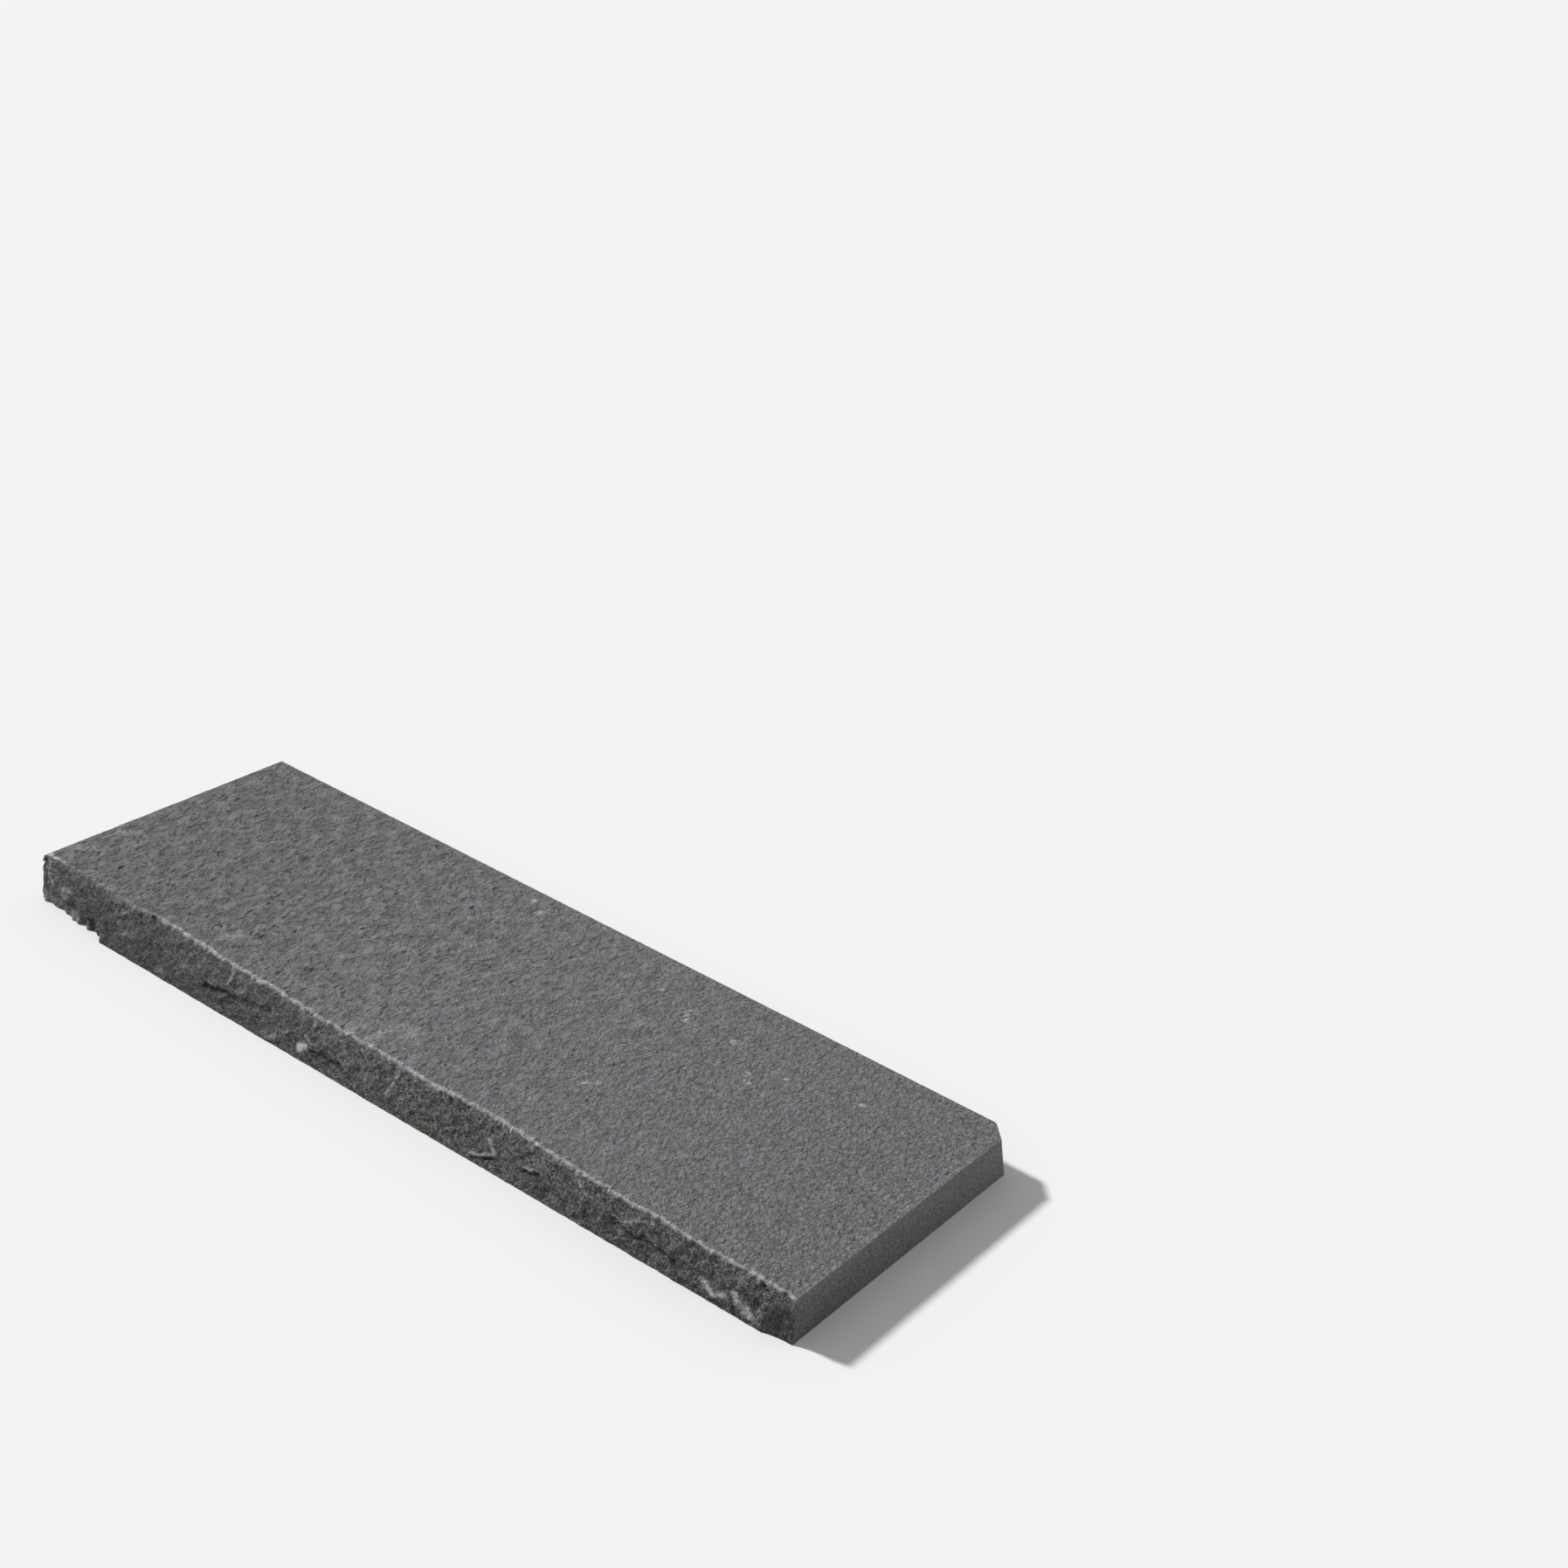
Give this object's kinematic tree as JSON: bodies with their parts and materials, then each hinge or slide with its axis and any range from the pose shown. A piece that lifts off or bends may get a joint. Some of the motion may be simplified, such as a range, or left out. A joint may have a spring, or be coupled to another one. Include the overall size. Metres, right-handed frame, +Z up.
{
  "type": "stair tread",
  "caption": "Stone stair tread: a slab with a natural top, sawn back, ends and underside, and a rock-faced front edge with a wavy arris.",
  "frame": {"origin": "middle of the underside", "axes": "+X along the tread's length, -Y towards the rock-faced front edge, +Z up, out of the walking surface"},
  "size_m": [0.9144, 0.3048, 0.0444],
  "materials": {
    "stone": "natural riven top, rock-faced front, sawn ends"
  },
  "bodies": {
    "root": {"stair_tread": "stone"}
  },
  "joints": []
}
